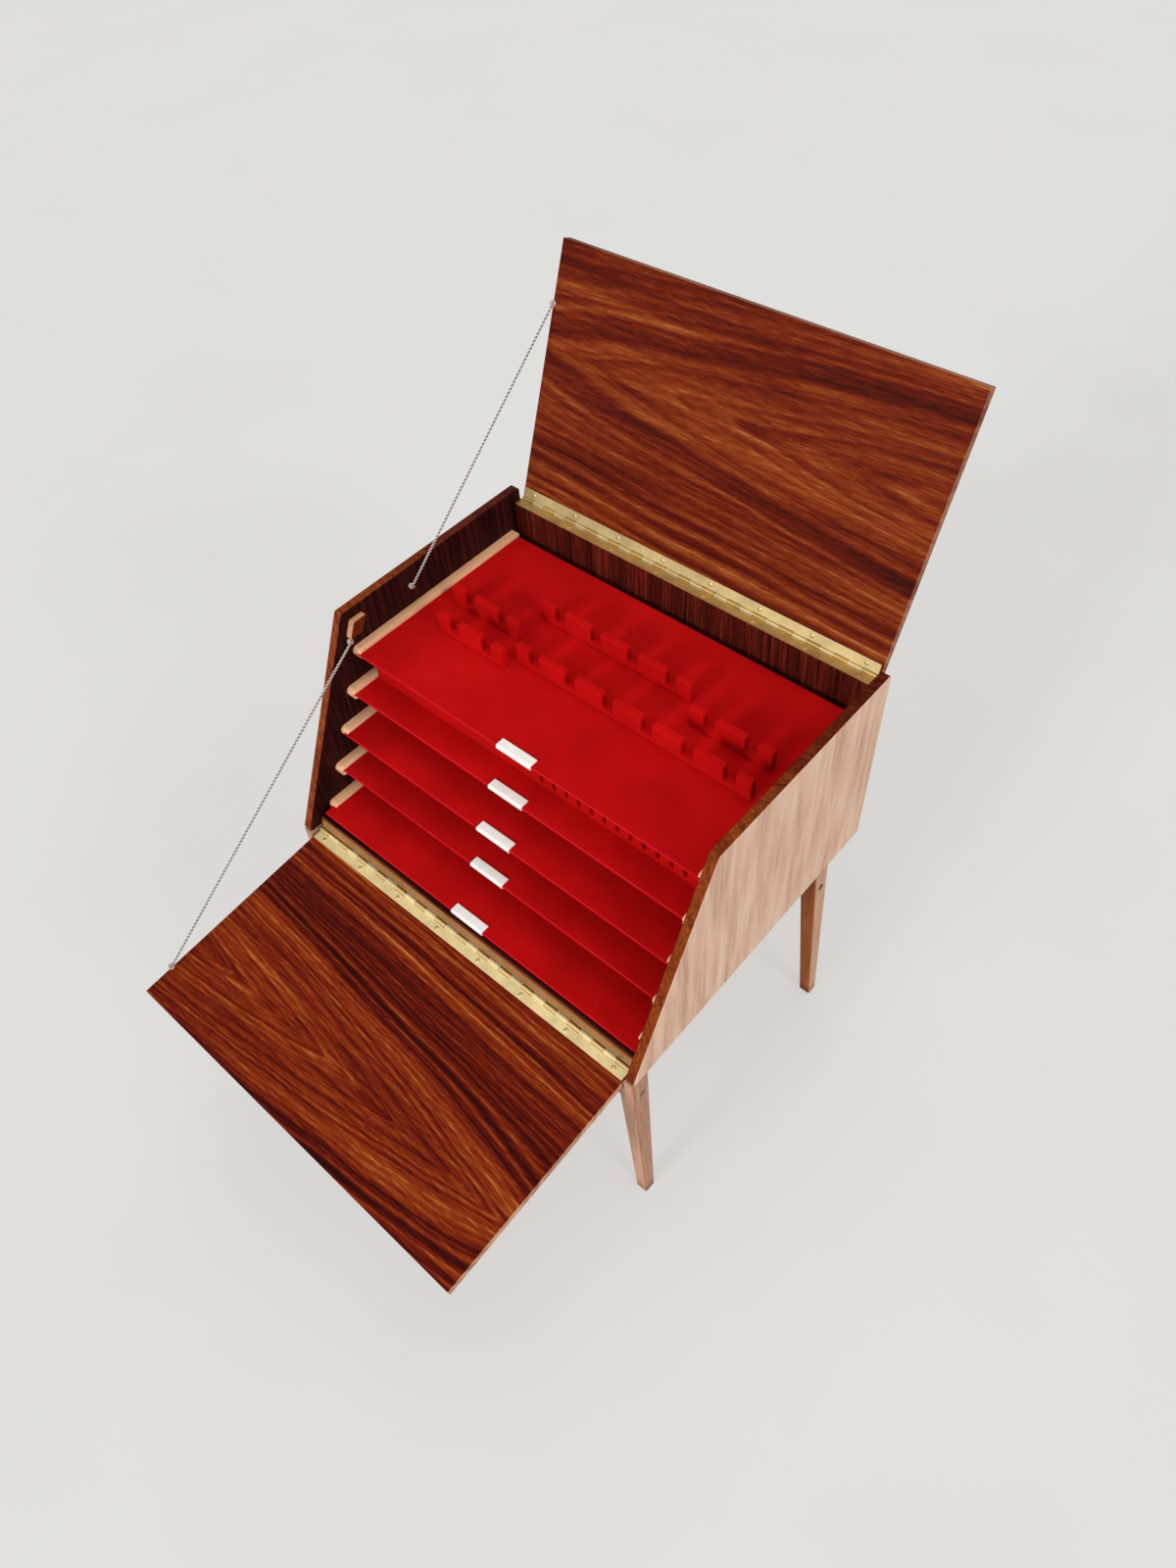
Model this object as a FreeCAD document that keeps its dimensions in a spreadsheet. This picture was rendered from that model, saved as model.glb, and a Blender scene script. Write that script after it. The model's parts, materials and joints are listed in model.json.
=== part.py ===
import FreeCAD, Part
import Sketcher
import os

# A cutlery cabinet on splayed legs, shown open: lid leaning back, flap let down, trays in.
# Case positions are measured from the front bottom corner of the side panels: X to the
# right, Y to the back, Z up.

os.makedirs("parts", exist_ok=True)

doc = FreeCAD.newDocument("cutlery_cabinet")
sheet = doc.addObject("Spreadsheet::Sheet", "Dims")

dimensions = [
    ("width", 500), ("depth", 396), ("case_height", 250), ("top_setback", 126),
    ("board", 11), ("side_corner", 4), ("edge_ease", 0.8),
    ("leg_height", 266), ("leg_top_x", 21), ("leg_top_y", 23.5), ("leg_foot", 14.5),
    ("leg_splay_x", 15.75), ("leg_splay_y", 7), ("leg_ease", 2), ("leg_front", 1),
    ("rear_leg_front", 314.5), ("rail_width", 18), ("rail_height", 44),
    ("leg_screw_drop", 30), ("leg_screw_head", 3.8), ("leg_screw_shank", 1.8),
    ("leg_screw_recess", 5), ("flap_relief", 14.2),
    ("lid_length", 276), ("lid_side_gap", 2), ("lid_lean", 21.1),
    ("flap_length", 258), ("flap_side_gap", 2.5), ("flap_droop", 5.4), ("flap_axis_up", 5),
    ("knuckle_radius", 2), ("knuckle_gap", 0.3), ("pin_radius", 1), ("pin_play", 0.05),
    ("leaf_width", 12.6), ("leaf_thickness", 0.9), ("hinge_end_gap", 1.5),
    ("screw_head", 2.6), ("screw_dome", 0.8), ("screw_shank", 1.2), ("screw_length", 8),
    ("screw_hole", 1.35), ("screw_end", 14.5),
    ("runner_width", 12), ("runner_height", 12.5), ("runner_lip", 4), ("runner_nose", 24.5),
    ("runner_back_gap", 9), ("first_runner_top", 24.5), ("top_runner_drop", 47.5),
    ("groove_height", 4.6), ("groove_depth", 6.6),
    ("tray_board", 4), ("tray_side_gap", 0.6), ("tray_lift", 0.3), ("tray_setback", 33),
    ("tray_back_gap", 4),
    ("out_1", 6), ("out_2", 3.3), ("out_3", 6.6), ("out_4", 2), ("out_5", 18),
    ("pull_length", 46.5), ("pull_depth", 11.5), ("pull_wall", 1.5), ("pull_offset", 0.8),
    ("comb_height", 25), ("comb_thickness", 9), ("notch_width", 14.5), ("notch_depth", 19),
    ("knife_notch_width", 4.4), ("knife_notch_depth", 20), ("knife_pitch", 16.5),
    ("knife_end", 22), ("knife_edge", 8), ("comb_edge", 30), ("comb_split", 88), ("comb_joint_gap", 4),
    ("front_left_edge", 47), ("front_left_back", 80.5), ("front_right_edge", 19.5),
    ("front_right_back", 96.8), ("rear_left_back", 120.5), ("rear_side_length", 99),
    ("rear_right_back", 137.5), ("rear_middle_back", 161), ("rear_middle_gap", 8),
    ("rear_right_edge", 25), ("knife_front_back", 33), ("knife_rear_back", 180),
    ("third_front_back", 90), ("third_rear_back", 190),
    ("fourth_front_back", 110), ("fourth_rear_back", 210),
    ("block_thickness", 8.5), ("block_length", 17), ("block_height", 18), ("block_gap", 0.4),
    ("cord_radius", 1.1), ("cord_post_radius", 2.2), ("cord_post_height", 6.5),
    ("cord_end_gap", 4), ("cord_stand_off", 4.5),
    ("lid_cord_y", 218), ("lid_cord_drop", 22.5), ("lid_cord_reach", 213),
    ("flap_cord_y", 125.5), ("flap_cord_drop", 35.5), ("flap_cord_reach", 222),
]
for row, (alias, value) in enumerate(dimensions, start=1):
    sheet.set("A%d" % row, alias)
    sheet.set("B%d" % row, str(value))
    sheet.setAlias("B%d" % row, alias)
doc.recompute()

places = doc.addObject("App::VarSet", "Places")


def derive(name, formula, kind="App::PropertyFloat"):
    places.addProperty(kind, name)
    places.setExpression(name, formula)


derive("inner_half", "Dims.width / 2 - Dims.board")
derive("back_face", "Dims.depth - Dims.board")
derive("slope_length", "sqrt(Dims.case_height ^ 2 + Dims.top_setback ^ 2)")
derive("slope_cos", "Dims.top_setback / slope_length")
derive("slope_sin", "Dims.case_height / slope_length")
derive("slope_run", "Dims.top_setback / Dims.case_height")
derive("slope_angle", "acos(slope_cos)", "App::PropertyAngle")
derive("lid_angle", "90 - Dims.lid_lean", "App::PropertyAngle")
derive("lid_fixed_angle", "180", "App::PropertyAngle")
derive("flap_angle", "180 + Dims.flap_droop", "App::PropertyAngle")
derive("hinge_half", "inner_half - Dims.flap_side_gap - Dims.hinge_end_gap")
# The lid turns on an axis just behind the back panel's top edge.
derive("lid_y", "Dims.depth + Dims.knuckle_radius / 2")
derive("lid_z", "Dims.case_height - Dims.board - Dims.knuckle_radius")
# The flap turns on an axis below the bottom panel's bevelled front edge.
derive("flap_off", "Dims.board + Dims.knuckle_radius")
derive("flap_y", "Dims.flap_axis_up * slope_cos + flap_off * slope_sin")
derive("flap_z", "Dims.flap_axis_up * slope_sin - flap_off * slope_cos")
# The origin stands on the floor at the middle of the open cabinet's outline.
derive("front_reach", "flap_y + Dims.flap_length * cos(flap_angle)"
       " - Dims.knuckle_radius * sin(flap_angle)")
derive("back_reach", "lid_y + Dims.lid_length * cos(lid_angle)"
       " + (Dims.knuckle_radius + Dims.board) * sin(lid_angle)")
derive("origin_y", "(front_reach + back_reach) / 2")
derive("cord_x", "inner_half - Dims.cord_stand_off")
derive("tray_half", "inner_half - Dims.runner_width + Dims.groove_depth - Dims.tray_side_gap")
derive("runner_pitch", "(Dims.case_height - Dims.top_runner_drop - Dims.first_runner_top) / 4")
derive("screw_pitch", "2 * (hinge_half - Dims.screw_end) / 7")
derive("dome_radius", "(Dims.screw_head ^ 2 + Dims.screw_dome ^ 2) / (2 * Dims.screw_dome)")
derive("dome_angle", "asin((dome_radius - Dims.screw_dome) / dome_radius)", "App::PropertyAngle")
doc.recompute()

# Each frame is a turned set of axes: where its X axis lies, and its turn about X.
frames = {
    "case": ("0", "0", None),
    "lid": ("Places.lid_y", "Places.lid_z", "Places.lid_angle"),
    "lid_fixed": ("Places.lid_y", "Places.lid_z", "Places.lid_fixed_angle"),
    "flap": ("Places.flap_y", "Places.flap_z", "Places.flap_angle"),
    "flap_fixed": ("Places.flap_y", "Places.flap_z", "Places.slope_angle"),
}
sub_parts = []


def bind(thing, **sizes):
    for name, formula in sizes.items():
        thing.setExpression(name, formula)
    return thing


def keep(thing, label):
    thing.Label = label
    sub_parts.append(thing)
    return thing


def shift(thing, x, y, z):
    thing.setExpression("Placement.Base.x", x)
    thing.setExpression("Placement.Base.y", y)
    thing.setExpression("Placement.Base.z", z)
    return thing


def place(thing, frame="case", x="0", y="0", z="0"):
    frame_y, frame_z, angle = frames[frame]
    if angle:
        start = FreeCAD.Rotation(FreeCAD.Vector(1, 0, 0), 90)
        thing.Placement = FreeCAD.Placement(FreeCAD.Vector(), start)
        thing.setExpression("Placement.Rotation.Angle", angle)
    return shift(thing, x, "%s + %s - Places.origin_y" % (frame_y, y),
                 "%s + %s + Dims.leg_height" % (frame_z, z))


def box(length, width, height, x="0", y="0", z="0"):
    block = doc.addObject("Part::Box", "block")
    bind(block, Length=length, Width=width, Height=height)
    return shift(block, x, y, z)


def rod(radius, length, x, y, z):
    round_bar = doc.addObject("Part::Cylinder", "rod")
    turn = FreeCAD.Rotation(FreeCAD.Vector(0, 1, 0), 90)
    round_bar.Placement = FreeCAD.Placement(FreeCAD.Vector(), turn)
    bind(round_bar, Radius=radius, Height=length)
    return shift(round_bar, x, y, z)


def post(radius, height, x, y, z):
    upright = doc.addObject("Part::Cylinder", "post")
    bind(upright, Radius=radius, Height=height)
    return shift(upright, x, y, z)


def fuse(things):
    joined = doc.addObject("Part::MultiFuse", "joined")
    joined.Shapes = things
    return joined


def group(things):
    gathered = doc.addObject("Part::Compound", "gathered")
    gathered.Links = things
    return gathered


def cut(base, tools):
    result = doc.addObject("Part::Cut", "cut")
    result.Base = base
    result.Tool = tools[0] if len(tools) == 1 else group(tools)
    return result


def value_of(formula):
    value = sheet.evalExpression(formula)
    return float(getattr(value, "Value", value))


def outline(body, plane, corners, lift=None):
    sketch = body.newObject("Sketcher::SketchObject", "outline")
    support = [item for item in body.Origin.OriginFeatures if item.Role == plane][0]
    sketch.AttachmentSupport = (support, [""])
    sketch.MapMode = "FlatFace"
    if lift:
        sketch.setExpression("AttachmentOffset.Base.z", lift)
    points = [FreeCAD.Vector(value_of(u), value_of(v), 0) for u, v in corners]
    count = len(points)
    for index in range(count):
        sketch.addGeometry(Part.LineSegment(points[index], points[(index + 1) % count]), False)
    for index in range(count):
        sketch.addConstraint(Sketcher.Constraint("Coincident", index, 2, (index + 1) % count, 1))
    for index, (u, v) in enumerate(corners):
        for kind, axis, formula in (("DistanceX", -2, u), ("DistanceY", -1, v)):
            if formula == "0":
                sketch.addConstraint(Sketcher.Constraint("PointOnObject", index, 1, axis))
                continue
            held = Sketcher.Constraint(kind, -1, 1, index, 1, value_of(formula))
            number = sketch.addConstraint(held)
            sketch.setExpression("Constraints[%d]" % number, formula)
    return sketch


def profile_body(plane, corners, length):
    body = doc.addObject("PartDesign::Body", "body")
    sketch = outline(body, plane, corners)
    pad = body.newObject("PartDesign::Pad", "pad")
    pad.Profile = sketch
    pad.setExpression("Length", length)
    doc.recompute()
    return body


def round_edges(body, radius, wanted):
    tip = body.Tip
    names = ["Edge%d" % number for number, edge in enumerate(tip.Shape.Edges, start=1)
             if wanted(edge)]
    fillet = body.newObject("PartDesign::Fillet", "eased")
    fillet.Base = (tip, names)
    fillet.setExpression("Radius", radius)
    doc.recompute()
    return body


def along(edge):
    run = edge.Vertexes[-1].Point - edge.Vertexes[0].Point
    return run.normalize() if run.Length else run


def runs_along_x(edge):
    return abs(along(edge).x) > 0.9


def runs_upright(edge):
    return abs(along(edge).z) > 0.9


def every_edge(edge):
    return True


# Case panels. The side panels carry the slope; the bottom panel's front edge is bevelled to it.
side_corners = [("0", "0"), ("Dims.depth", "0"), ("Dims.depth", "Dims.case_height"),
                ("Dims.top_setback", "Dims.case_height")]
for side, start in (("left", "-Dims.width / 2"), ("right", "Places.inner_half")):
    panel = profile_body("YZ_Plane", side_corners, "Dims.board")
    round_edges(panel, "Dims.side_corner", runs_along_x)
    keep(place(panel, "case", start), "side_panel_" + side)

bevel = "(Dims.board + 2 * Dims.knuckle_radius) / Places.slope_sin"
bottom_corners = [(bevel, "0"), ("Places.back_face", "0"), ("Places.back_face", "Dims.board"),
                  (bevel + " + Dims.board * Places.slope_run", "Dims.board")]
bottom = profile_body("YZ_Plane", bottom_corners, "2 * Places.inner_half")
keep(place(bottom, "case", "-Places.inner_half"), "bottom_panel")

back = box("2 * Places.inner_half", "Dims.board", "Places.lid_z - Dims.knuckle_radius")
keep(place(back, "case", "-Places.inner_half", "Places.back_face"), "back_panel")

# Legs, rails and leg screws. The flap swings down past the front legs, so they and the rail
# ends are hollowed round its axis, out of sight under the open flap.
leg_inner = "(Dims.width / 2 - Dims.leg_top_x)"
leg_slant = "((Dims.leg_splay_x + (Dims.leg_top_x - Dims.leg_foot) / 2) / Dims.leg_height)"
relief_end = "(Places.inner_half - 1)"
screw_z = "-Dims.leg_screw_drop"
screw_seat = "(Dims.width / 2 - Dims.leg_screw_recess)"
screw_reach = "(Dims.leg_top_x - Dims.leg_screw_recess + 12)"


def leg_rectangle(sign, front, size_x, size_y, move_x, move_y):
    middle_x = "(%s + Dims.leg_top_x / 2 + %s)" % (leg_inner, move_x)
    middle_y = "(%s + Dims.leg_top_y / 2 + %s)" % (front, move_y)
    corners = []
    for step_x, step_y in (("-", "-"), ("+", "-"), ("+", "+"), ("-", "+")):
        corners.append(("%s1 * (%s %s %s / 2)" % (sign, middle_x, step_x, size_x),
                        "%s %s %s / 2" % (middle_y, step_y, size_y)))
    return corners


def make_leg(sign, front, lean):
    body = doc.addObject("PartDesign::Body", "leg")
    top = outline(body, "XY_Plane",
                  leg_rectangle(sign, front, "Dims.leg_top_x", "Dims.leg_top_y", "0", "0"))
    foot = outline(body, "XY_Plane",
                   leg_rectangle(sign, front, "Dims.leg_foot", "Dims.leg_foot",
                                 "Dims.leg_splay_x", lean + "Dims.leg_splay_y"),
                   "-Dims.leg_height")
    loft = body.newObject("PartDesign::AdditiveLoft", "taper")
    loft.Profile = top
    loft.Sections = [foot]
    loft.Ruled = True
    doc.recompute()
    return round_edges(body, "Dims.leg_ease", runs_upright)


def flap_relief():
    width = "2 * " + relief_end
    swing = rod("Dims.flap_relief", width, "-" + relief_end, "Places.flap_y", "Places.flap_z")
    passage = doc.addObject("Part::Box", "passage")
    bind(passage, Length=width, Width="3 * Dims.flap_relief", Height="2 * Dims.flap_relief")
    turn = FreeCAD.Rotation(FreeCAD.Vector(1, 0, 0), 90)
    passage.Placement = FreeCAD.Placement(FreeCAD.Vector(), turn)
    passage.setExpression("Placement.Rotation.Angle", "Places.flap_angle")
    shift(passage, "-" + relief_end,
          "Places.flap_y + Dims.flap_relief * sin(Places.flap_angle)",
          "Places.flap_z - Dims.flap_relief * cos(Places.flap_angle)")
    return [swing, passage]


leg_screws = []
for side, sign in (("left", "-"), ("right", "+")):
    for row, front, lean in (("front", "Dims.leg_front", "-"),
                             ("rear", "Dims.rear_leg_front", "+")):
        screw_y = "%s + Dims.leg_top_y / 2" % front
        sink_start = screw_seat if sign == "+" else "-%s - 20" % screw_seat
        bore_start = screw_seat + " - 30" if sign == "+" else "-" + screw_seat
        tools = [rod("Dims.leg_screw_head + 0.4", "20", sink_start, screw_y, screw_z),
                 rod("Dims.leg_screw_shank + 0.2", "30", bore_start, screw_y, screw_z)]
        if row == "front":
            tools.extend(flap_relief())
        leg = cut(make_leg(sign, front, lean), tools)
        keep(place(leg), "%s_leg_%s" % (row, side))
        head_start = screw_seat if sign == "+" else "-%s - 2.5" % screw_seat
        shank_start = "%s - %s" % (screw_seat, screw_reach) if sign == "+" else "-" + screw_seat
        leg_screws.append(fuse([rod("Dims.leg_screw_head", "2.5", head_start, screw_y, screw_z),
                                rod("Dims.leg_screw_shank", screw_reach, shank_start,
                                    screw_y, screw_z)]))
    rail_face = "%s1 * (%s + Dims.rail_height * %s)" % (sign, leg_inner, leg_slant)
    rail_inner = "%s1 * (%s - Dims.rail_width)" % (sign, leg_inner)
    rail_corners = [(rail_inner, "0"), (rail_inner, "-Dims.rail_height"),
                    (rail_face, "-Dims.rail_height"), ("%s1 * %s" % (sign, leg_inner), "0")]
    rail_length = "Dims.rear_leg_front + Dims.leg_top_y - Dims.leg_front - 2"
    rail = profile_body("XZ_Plane", rail_corners, rail_length)
    shift(rail, "0", "Dims.rear_leg_front + Dims.leg_top_y", "0")
    keep(place(cut(rail, flap_relief())), "side_rail_" + side)
keep(place(group(leg_screws)), "leg_screws")

# Piano hinges: a plate with every second knuckle, a pin, and a row of domed screws.
knuckle_count = 29
knuckle_pitch = "(2 * Places.hinge_half / %d)" % knuckle_count
plate_start = "(Dims.knuckle_radius + Dims.knuckle_gap)"
screw_line = "(%s + Dims.leaf_width) / 2" % plate_start


def screw_x(number):
    return "-Places.hinge_half + Dims.screw_end + %d * Places.screw_pitch" % number


def hinge_leaf(frame, side, first, label):
    low = "Dims.knuckle_radius - Dims.leaf_thickness" if side > 0 else "-Dims.knuckle_radius"
    pieces = [box("2 * Places.hinge_half", "Dims.leaf_width - " + plate_start,
                  "Dims.leaf_thickness", "-Places.hinge_half", plate_start, low)]
    for number in range(first, knuckle_count, 2):
        start = "-Places.hinge_half + %d * %s + Dims.knuckle_gap / 2" % (number, knuckle_pitch)
        length = knuckle_pitch + " - Dims.knuckle_gap"
        pieces.append(box(length, plate_start + " + 1", "Dims.leaf_thickness", start, "0", low))
        pieces.append(rod("Dims.knuckle_radius", length, start, "0", "0"))
    tools = [rod("Dims.pin_radius + Dims.pin_play", "2 * Places.hinge_half + 2",
                 "-Places.hinge_half - 1", "0", "0")]
    for number in range(8):
        tools.append(post("Dims.screw_hole", "Dims.leaf_thickness + 1", screw_x(number),
                          screw_line, low + " - 0.5"))
    keep(place(cut(fuse(pieces), tools), frame), label)


def hinge_screws(frame, side, label):
    screws = []
    rise = "Places.dome_radius - Dims.screw_dome"
    seat = "(Dims.knuckle_radius - Dims.leaf_thickness)"
    for number in range(8):
        dome = doc.addObject("Part::Sphere", "dome")
        bind(dome, Radius="Places.dome_radius")
        if side > 0:
            bind(dome, Angle1="-90", Angle2="-Places.dome_angle")
            shift(dome, screw_x(number), screw_line, "%s + %s" % (seat, rise))
            foot = seat
        else:
            bind(dome, Angle1="Places.dome_angle", Angle2="90")
            shift(dome, screw_x(number), screw_line, "-%s - (%s)" % (seat, rise))
            foot = "-%s - Dims.screw_length" % seat
        shank = post("Dims.screw_shank", "Dims.screw_length", screw_x(number), screw_line, foot)
        screws.append(fuse([dome, shank]))
    keep(place(group(screws), frame), label)


for name, moving_side, fixed_side in (("lid", -1, 1), ("flap", 1, -1)):
    fixed = name + "_fixed"
    hinge_leaf(fixed, fixed_side, 0, name + "_hinge_fixed_leaf")
    hinge_leaf(name, moving_side, 1, name + "_hinge_moving_leaf")
    hinge_screws(fixed, fixed_side, name + "_hinge_fixed_screws")
    hinge_screws(name, moving_side, name + "_hinge_moving_screws")
    axis_y, axis_z, turn = frames[name]
    pin = rod("Dims.pin_radius", "2 * Places.hinge_half", "-Places.hinge_half", "0", "0")
    shift(pin, "-Places.hinge_half", axis_y + " - Places.origin_y",
          axis_z + " + Dims.leg_height")
    keep(pin, name + "_hinge_pin")

# The lid and flap panels lie in their hinge frames, a knuckle's radius from the axis.
edge = "Dims.knuckle_radius / 2"
near = "Dims.knuckle_radius"
far = "(Dims.knuckle_radius + Dims.board)"
for name, sign in (("lid", "-"), ("flap", "")):
    half = "(Places.inner_half - Dims.%s_side_gap)" % name
    corners = [(edge, sign + near), ("Dims.%s_length" % name, sign + near),
               ("Dims.%s_length" % name, sign + far), (edge, sign + far)]
    panel = profile_body("YZ_Plane", corners, "2 * " + half)
    round_edges(panel, "Dims.edge_ease", every_edge)
    keep(place(panel, name, "-" + half), name + "_panel")

# A stop block in the left top front corner: the closed lid and flap come to rest at it.
block_top = "(Places.lid_z + Dims.knuckle_radius - Dims.block_gap)"
block_off = "(Dims.board + Dims.block_gap) / Places.slope_sin"
top_front = "(%s * Places.slope_run + %s)" % (block_top, block_off)
drop = "Dims.block_height * Places.slope_run"
block_foot = block_top + " - Dims.block_height"
block_corners = [(top_front + " - " + drop, block_foot),
                 (top_front + " - " + drop + " + Dims.block_length", block_foot),
                 (top_front + " + Dims.block_length", block_top), (top_front, block_top)]
block = profile_body("YZ_Plane", block_corners, "Dims.block_thickness")
keep(place(block, "case", "-Places.inner_half"), "stop_block_left")

# Runners, and the trays that slide in their grooves. Tray 1 is the top one.
tray_count = 5
wide_start = "(-Places.tray_half + Dims.comb_edge)"
wide_end = "(Places.tray_half - Dims.comb_edge)"
right_end = "(Places.tray_half - Dims.rear_right_edge)"
left_end = "(%s + Dims.rear_side_length)" % wide_start
knife_start = "(-Places.tray_half + Dims.knife_edge)"
knife_end = "(Places.tray_half - Dims.knife_edge)"
comb_rows = {
    1: [("(-Places.tray_half + Dims.front_left_edge)", "(-Dims.comb_split - Dims.comb_joint_gap / 2)",
         "Dims.front_left_back", 2, "fork"),
        ("(-Dims.comb_split + Dims.comb_joint_gap / 2)", "(Places.tray_half - Dims.front_right_edge)",
         "Dims.front_right_back", 6, "fork"),
        (wide_start, left_end, "Dims.rear_left_back", 2, "fork"),
        ("(%s - Dims.rear_middle_gap / 2)" % left_end,
         "(%s - Dims.rear_side_length - 2 * Dims.rear_middle_gap)" % right_end,
         "Dims.rear_middle_back", 4, "fork"),
        ("(%s - Dims.rear_side_length)" % right_end, right_end, "Dims.rear_right_back", 2, "fork")],
    2: [(knife_start, knife_end, "Dims.knife_front_back", 12, "knife"),
        (knife_start, knife_end, "Dims.knife_rear_back", 12, "knife")],
    3: [(wide_start, wide_end, "Dims.third_front_back", 8, "fork"),
        (wide_start, wide_end, "Dims.third_rear_back", 8, "fork")],
    4: [(wide_start, wide_end, "Dims.fourth_front_back", 8, "fork"),
        (wide_start, wide_end, "Dims.fourth_rear_back", 8, "fork")],
}
notch_sizes = {"fork": ("Dims.notch_width", "Dims.notch_depth"),
               "knife": ("Dims.knife_notch_width", "Dims.knife_notch_depth")}


def make_runner(sign, top):
    start = "-Places.inner_half" if sign < 0 else "Places.inner_half - Dims.runner_width"
    mouth = "-Dims.groove_depth" if sign > 0 else "Dims.runner_width - Dims.groove_depth"
    groove_x = start + " + " + mouth if sign < 0 else start
    nose_y = "%s * Places.slope_run + Dims.runner_nose" % top
    nose_radius = "Dims.runner_height / 2"
    length = "Places.back_face - Dims.runner_back_gap - (%s) - %s" % (nose_y, nose_radius)
    bar = box("Dims.runner_width", length, "Dims.runner_height", start,
              "%s + %s" % (nose_y, nose_radius), "%s - Dims.runner_height" % top)
    nose = rod(nose_radius, "Dims.runner_width", start, "%s + %s" % (nose_y, nose_radius),
               "%s - %s" % (top, nose_radius))
    groove = box("Dims.groove_depth", "Dims.depth", "Dims.groove_height", groove_x, "0",
                 "%s - Dims.runner_lip - Dims.groove_height" % top)
    return cut(fuse([bar, nose]), [groove])


for number in range(1, tray_count + 1):
    top = "(Dims.first_runner_top + %d * Places.runner_pitch)" % (tray_count - number)
    for side, sign in (("left", -1), ("right", 1)):
        keep(place(make_runner(sign, top)), "runner_%s_%d" % (side, number))
    face = "(%s - Dims.runner_lip - Dims.tray_lift)" % top
    home = "(%s * Places.slope_run + Dims.tray_setback)" % face
    front = "(%s - Dims.out_%d)" % (home, number)
    tray = box("2 * Places.tray_half", "Places.back_face - Dims.tray_back_gap - " + home,
               "Dims.tray_board")
    keep(place(tray, "case", "-Places.tray_half", front, face + " - Dims.tray_board"),
         "tray_%d_board" % number)
    wall = "Dims.pull_wall"
    under = "-Dims.tray_board"
    pull_corners = [("-" + wall, under + " - " + wall), ("Dims.pull_depth - " + wall, under
                    + " - " + wall), ("Dims.pull_depth - " + wall, under), ("0", under),
                    ("0", "0"), ("Dims.pull_depth - " + wall, "0"),
                    ("Dims.pull_depth - " + wall, wall), ("-" + wall, wall)]
    pull = profile_body("YZ_Plane", pull_corners, "Dims.pull_length")
    round_edges(pull, "0.6 * " + wall,
                lambda edge: runs_along_x(edge) and edge.Vertexes[0].Y < -0.1)
    keep(place(pull, "case", "Dims.pull_offset - Dims.pull_length / 2", front, face),
         "tray_%d_pull" % number)
    bars = []
    for start_x, end_x, back_by, notch_count, kind in comb_rows.get(number, []):
        notch_width, notch_depth = notch_sizes[kind]
        length = "(%s - %s)" % (end_x, start_x)
        bar = box(length, "Dims.comb_thickness", "Dims.comb_height", start_x, back_by)
        gaps = []
        for step in range(notch_count):
            middle = "%s + %s * %d / %d" % (start_x, length, 2 * step + 1, 2 * notch_count)
            if kind == "knife":
                middle = "%s - Dims.knife_end - %d * Dims.knife_pitch" % (end_x, step)
            gaps.append(box(notch_width, "Dims.comb_thickness + 2", notch_depth + " + 1",
                            "%s - %s / 2" % (middle, notch_width), back_by + " - 1",
                            "Dims.comb_height - " + notch_depth))
        bars.append(cut(bar, gaps))
    if bars:
        keep(place(group(bars), "case", "0", front, face), "tray_%d_combs" % number)

# Two cords on the left hold the lid and the flap open; each runs between two small posts.
near_posts = []
for name, sign in (("lid", "-"), ("flap", "")):
    axis_y, axis_z, turn = frames[name]
    post_y = "Dims.%s_cord_y" % name
    post_z = "(Dims.case_height - Dims.%s_cord_drop)" % name
    near_posts.append(rod("Dims.cord_post_radius", "Dims.cord_post_height",
                          "-Places.inner_half", post_y, post_z))
    reach = "Dims.%s_cord_reach" % name
    base = "-" + near if sign else near + " - Dims.cord_post_height"
    far_post = doc.addObject("Part::Cylinder", "far_post")
    bind(far_post, Radius="Dims.cord_post_radius", Height="Dims.cord_post_height")
    shift(far_post, "-Places.cord_x", reach, base)
    keep(place(group([far_post]), name), name + "_cord_post")
    level = "(Dims.cord_post_height / 2 - Dims.knuckle_radius)"
    level = level if sign else "-" + level
    derive(name + "_end_y", "%s + %s * cos(%s) - %s * sin(%s)" % (axis_y, reach, turn, level, turn))
    derive(name + "_end_z", "%s + %s * sin(%s) + %s * cos(%s)" % (axis_z, reach, turn, level, turn))
    run_y = "(Places.%s_end_y - %s)" % (name, post_y)
    run_z = "(Places.%s_end_z - %s)" % (name, post_z)
    derive(name + "_run", "sqrt(%s ^ 2 + %s ^ 2)" % (run_y, run_z))
    derive(name + "_tilt", "atan2(-%s; %s)" % (run_y, run_z), "App::PropertyAngle")
    doc.recompute()
    run = "Places.%s_run" % name
    cord = doc.addObject("Part::Cylinder", "cord")
    axis = FreeCAD.Vector(1, 0, 0)
    tilt = getattr(places, name + "_tilt").Value
    cord.Placement = FreeCAD.Placement(FreeCAD.Vector(), FreeCAD.Rotation(axis, tilt))
    bind(cord, Radius="Dims.cord_radius", Height=run + " - 2 * Dims.cord_end_gap")
    shift(cord, "-Places.cord_x",
          "%s + %s * Dims.cord_end_gap / %s - Places.origin_y" % (post_y, run_y, run),
          "%s + %s * Dims.cord_end_gap / %s + Dims.leg_height" % (post_z, run_z, run))
    keep(cord, name + "_cord")
keep(place(group(near_posts)), "cord_posts")

doc.recompute()

for thing in doc.Objects:
    if "Invalid" in thing.State or "Error" in thing.State:
        raise RuntimeError("%s does not build: %s" % (thing.Label, thing.State))
for thing in sub_parts:
    if thing.Shape.isNull() or not thing.Shape.isValid():
        raise RuntimeError("%s has no valid shape" % thing.Label)
for thing in sub_parts:
    thing.Shape.exportStep("parts/%s.step" % thing.Label)
print("%d sub-parts written" % len(sub_parts))
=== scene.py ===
import bpy
import bmesh
import json
import math
from mathutils import Matrix, Vector


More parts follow.
